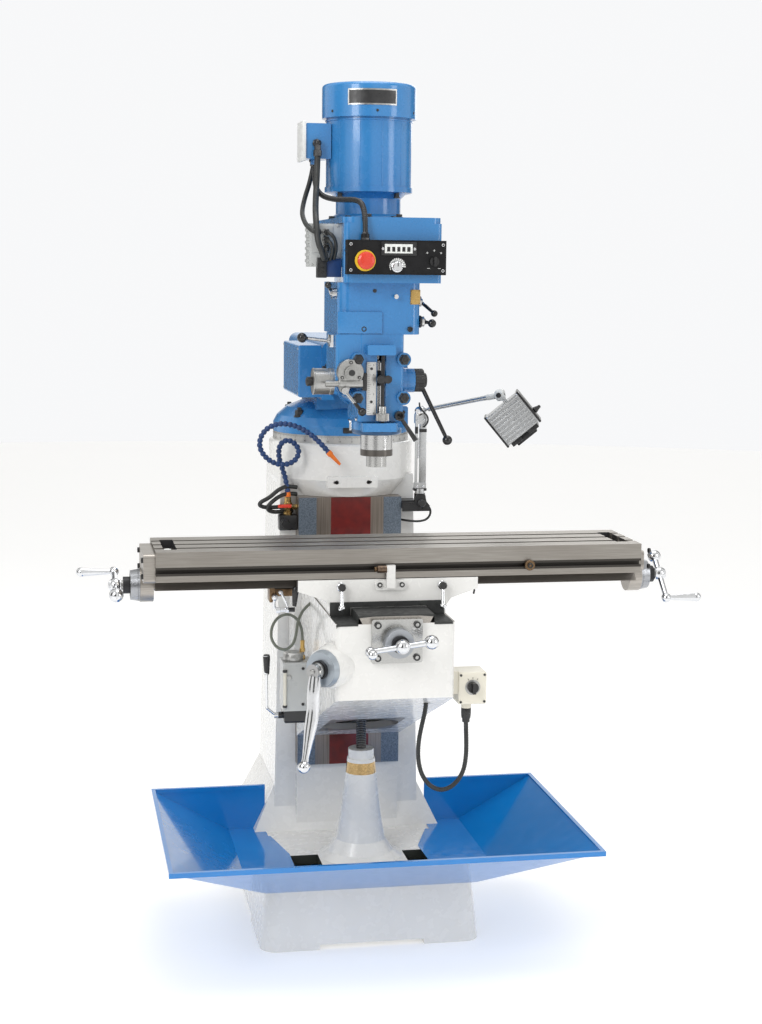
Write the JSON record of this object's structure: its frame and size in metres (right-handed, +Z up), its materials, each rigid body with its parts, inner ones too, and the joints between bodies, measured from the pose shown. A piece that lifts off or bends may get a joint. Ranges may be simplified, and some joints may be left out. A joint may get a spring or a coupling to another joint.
{
  "type": "vertical milling machine",
  "caption": "Knee-type vertical milling machine with swivelling turret, ram, tilting head, quill, knee, saddle, long slotted table, chip tray and work lamp.",
  "frame": {"origin": "centre of the base's footprint, on the floor", "axes": "+X to the operator's right along the table, -Y towards the operator, +Z up along the knee's travel and the spindle"},
  "size_m": [1.6572, 1.4576, 2.331],
  "materials": {
    "white_paint": "gloss enamel on cast iron",
    "blue_paint": "gloss enamel",
    "grey_paint": "satin enamel on sheet steel",
    "cream_paint": "satin enamel",
    "ground_iron": "ground and scraped",
    "steel": "turned and ground",
    "chrome": "polished",
    "black_steel": "black oxide",
    "black_plastic": "moulded",
    "red_plastic": "moulded",
    "rubber": "ribbed",
    "blue_plastic": "moulded",
    "aluminium": "finned, satin"
  },
  "bodies": {
    "base": {"column_casting": "white_paint", "chip_tray": "blue_paint", "screw_pedestal": "white_paint", "graduated_ring": "steel", "coolant_line": "blue_plastic", "lamp_bracket": "black_steel"},
    "coolant_tap": {"coolant_tap": "red_plastic"},
    "lamp_lower": {"lamp_lower_arm": "aluminium"},
    "lamp_upper": {"lamp_upper_arm": "aluminium"},
    "lamp_head": {"lamp_head": "aluminium"},
    "knee": {"knee_casting": "white_paint", "cross_screw_bracket": "steel", "switch_box": "cream_paint", "switch_cable": "rubber", "oil_pump": "grey_paint"},
    "elevating_screw": {"elevating_screw": "black_steel"},
    "knee_crank": {"knee_crank": "chrome"},
    "switch_knob": {"switch_knob": "black_plastic"},
    "oil_pump_lever": {"oil_pump_lever": "aluminium"},
    "cross_feed": {"cross_screw": "steel", "cross_crank": "chrome"},
    "saddle": {"saddle_casting": "white_paint"},
    "table_lock_left": {"table_lock_left": "chrome"},
    "table_lock_right": {"table_lock_right": "chrome"},
    "table": {"table_casting": "ground_iron", "table_end_brackets": "steel", "table_stop_dogs": "steel"},
    "table_feed": {"table_screw": "steel", "table_dials": "steel", "table_cranks": "chrome"},
    "turret": {"turret": "blue_paint"},
    "ram": {"ram": "blue_paint"},
    "ram_adapter": {"ram_adapter": "blue_paint"},
    "head": {"quill_housing": "blue_paint", "head_bolts": "black_steel", "gear_housing": "blue_paint", "belt_housing": "blue_paint", "motor": "blue_paint", "motor_conduit": "rubber", "control_panel": "black_plastic", "drive_belt": "rubber", "depth_stop": "steel", "feed_gearbox": "steel", "electrical_cabinet": "grey_paint"},
    "emergency_stop": {"emergency_stop": "red_plastic"},
    "speed_knob": {"speed_knob": "black_plastic"},
    "selector_switch": {"selector_switch": "black_plastic"},
    "motor_pulley": {"motor_pulley": "steel"},
    "spindle_pulley": {"spindle_pulley": "steel"},
    "quill": {"quill": "steel"},
    "spindle": {"spindle": "steel"},
    "quill_handle": {"quill_handle": "black_steel"},
    "depth_stop_nut": {"depth_stop_nut": "steel"},
    "feed_direction_knob": {"feed_direction_knob": "black_plastic"},
    "feed_trip_lever": {"feed_trip_lever": "black_steel"},
    "quill_lock": {"quill_lock": "black_steel"},
    "feed_rate_lever": {"feed_rate_lever": "chrome"},
    "back_gear_lever": {"back_gear_lever": "black_steel"},
    "belt_tension_lever": {"belt_tension_lever": "black_steel"},
    "brake_lever": {"brake_lever": "black_steel"}
  },
  "joints": [
    {"name": "knee_lift", "type": "slide", "parent": "base", "child": "knee", "axis": [0, 0, 1], "range_m": [-0.255, 0.15], "deforming": ["switch_cable"]},
    {"name": "elevating_screw_turn", "type": "hinge", "parent": "knee", "child": "elevating_screw", "pos_m": [0, -0.24, 0.5], "axis": [0, 0, 1], "continuous": true},
    {"name": "knee_crank_turn", "type": "hinge", "parent": "knee", "child": "knee_crank", "pos_m": [-0.163, -0.703, 0.848], "axis": [-0.7071, -0.7071, 0], "continuous": true},
    {"name": "saddle_feed", "type": "slide", "parent": "knee", "child": "saddle", "axis": [0, 1, 0], "range_m": [-0.105, 0.2]},
    {"name": "cross_screw_turn", "type": "hinge", "parent": "knee", "child": "cross_feed", "pos_m": [0, -0.8, 0.917], "axis": [0, -1, 0], "continuous": true},
    {"name": "table_feed", "type": "slide", "parent": "saddle", "child": "table", "axis": [1, 0, 0], "range_m": [-0.34, 0.21]},
    {"name": "table_screw_turn", "type": "hinge", "parent": "table", "child": "table_feed", "pos_m": [0, -0.495, 1.031], "axis": [1, 0, 0], "continuous": true},
    {"name": "table_lock_left_turn", "type": "hinge", "parent": "saddle", "child": "table_lock_left", "pos_m": [-0.124, -0.622, 1.037], "axis": [0, -1, 0], "range_deg": [-45, 45]},
    {"name": "table_lock_right_turn", "type": "hinge", "parent": "saddle", "child": "table_lock_right", "pos_m": [0.14, -0.622, 1.037], "axis": [0, -1, 0], "range_deg": [-45, 45]},
    {"name": "switch_turn", "type": "hinge", "parent": "knee", "child": "switch_knob", "pos_m": [0.206, -0.705, 0.783], "axis": [0, -1, 0], "range_deg": [-60, 60]},
    {"name": "oil_pump_stroke", "type": "hinge", "parent": "knee", "child": "oil_pump_lever", "pos_m": [-0.241, -0.276, 0.618], "axis": [1, 0, 0], "range_deg": [-35, 20]},
    {"name": "turret_swivel", "type": "hinge", "parent": "base", "child": "turret", "pos_m": [0, 0.156, 1.368], "axis": [0, 0, 1], "range_deg": [-90, 25]},
    {"name": "ram_slide", "type": "slide", "parent": "turret", "child": "ram", "axis": [0, 1, 0], "range_m": [-0.12, 0.18]},
    {"name": "head_nod", "type": "hinge", "parent": "ram", "child": "ram_adapter", "pos_m": [0, -0.18, 1.561], "axis": [-1, 0, 0], "range_deg": [-45, 10]},
    {"name": "head_tilt", "type": "hinge", "parent": "ram_adapter", "child": "head", "pos_m": [0, -0.32, 1.561], "axis": [0, 1, 0], "range_deg": [-90, 60]},
    {"name": "quill_travel", "type": "slide", "parent": "head", "child": "quill", "axis": [0, 0, 1], "range_m": [-0.062, 0.05]},
    {"name": "spindle_spin", "type": "hinge", "parent": "quill", "child": "spindle", "pos_m": [0, -0.43, 1.4], "axis": [0, 0, 1], "continuous": true},
    {"name": "spindle_pulley_spin", "type": "hinge", "parent": "head", "child": "spindle_pulley", "pos_m": [0, -0.43, 1.88], "axis": [0, 0, 1], "continuous": true},
    {"name": "motor_spin", "type": "hinge", "parent": "head", "child": "motor_pulley", "pos_m": [0.01, -0.215, 1.88], "axis": [0, 0, 1], "continuous": true},
    {"name": "quill_handle_turn", "type": "hinge", "parent": "head", "child": "quill_handle", "pos_m": [0.097, -0.43, 1.552], "axis": [1, 0, 0], "range_deg": [-150, 180]},
    {"name": "depth_nut_travel", "type": "slide", "parent": "head", "child": "depth_stop_nut", "axis": [0, 0, 1], "range_m": [0, 0.06]},
    {"name": "feed_direction_turn", "type": "hinge", "parent": "head", "child": "feed_direction_knob", "pos_m": [-0.085, -0.516, 1.577], "axis": [0, -1, 0], "range_deg": [-60, 60]},
    {"name": "feed_trip_turn", "type": "hinge", "parent": "head", "child": "feed_trip_lever", "pos_m": [-0.101, -0.516, 1.53], "axis": [0, -1, 0], "range_deg": [-30, 35]},
    {"name": "quill_lock_turn", "type": "hinge", "parent": "head", "child": "quill_lock", "pos_m": [0.046, -0.492, 1.464], "axis": [0, -1, 0], "range_deg": [-15, 40]},
    {"name": "feed_rate_turn", "type": "hinge", "parent": "head", "child": "feed_rate_lever", "pos_m": [-0.12, -0.45, 1.656], "axis": [1, 0, 0], "range_deg": [-35, 35]},
    {"name": "back_gear_turn", "type": "hinge", "parent": "head", "child": "back_gear_lever", "pos_m": [0.104, -0.46, 1.707], "axis": [1, 0, 0], "range_deg": [-35, 35]},
    {"name": "belt_tension_turn", "type": "hinge", "parent": "head", "child": "belt_tension_lever", "pos_m": [0.104, -0.42, 1.758], "axis": [1, 0, 0], "range_deg": [-30, 30]},
    {"name": "brake_turn", "type": "hinge", "parent": "head", "child": "brake_lever", "pos_m": [-0.114, -0.45, 1.778], "axis": [1, 0, 0], "range_deg": [-25, 25]},
    {"name": "emergency_stop_press", "type": "slide", "parent": "head", "child": "emergency_stop", "axis": [0, 1, 0], "range_m": [0, 0.006], "stiffness_N_per_m": 1500},
    {"name": "speed_turn", "type": "hinge", "parent": "head", "child": "speed_knob", "pos_m": [0.022, -0.57, 1.849], "axis": [0, -1, 0], "range_deg": [-135, 135]},
    {"name": "selector_turn", "type": "hinge", "parent": "head", "child": "selector_switch", "pos_m": [0.118, -0.57, 1.862], "axis": [0, -1, 0], "range_deg": [-45, 45]},
    {"name": "lamp_swivel", "type": "hinge", "parent": "base", "child": "lamp_lower", "pos_m": [0.205, -0.02, 1.15], "axis": [0, 0, 1], "range_deg": [-20, 60]},
    {"name": "lamp_elbow", "type": "hinge", "parent": "lamp_lower", "child": "lamp_upper", "pos_m": [0.205, -0.02, 1.438], "axis": [0.4693, 0.8831, 0], "range_deg": [-20, 20]},
    {"name": "lamp_tilt", "type": "hinge", "parent": "lamp_upper", "child": "lamp_head", "pos_m": [0.412, -0.13, 1.491], "axis": [0, 1, 0], "range_deg": [-30, 30]},
    {"name": "coolant_tap_turn", "type": "hinge", "parent": "base", "child": "coolant_tap", "pos_m": [-0.177, -0.012, 1.166], "axis": [0, -1, 0], "range_deg": [-90, 0]}
  ],
  "couplings": [
    {"joint": "elevating_screw_turn", "follows": "knee_lift", "rad_per_m": 1256.6},
    {"joint": "knee_crank_turn", "follows": "knee_lift", "rad_per_m": 2513.3},
    {"joint": "cross_screw_turn", "follows": "saddle_feed", "rad_per_m": 1256.6},
    {"joint": "table_screw_turn", "follows": "table_feed", "rad_per_m": 1256.6},
    {"joint": "quill_handle_turn", "follows": "quill_travel", "rad_per_m": -50},
    {"joint": "spindle_pulley_spin", "follows": "spindle_spin", "ratio": 1},
    {"joint": "motor_spin", "follows": "spindle_spin", "ratio": 1.6667}
  ]
}
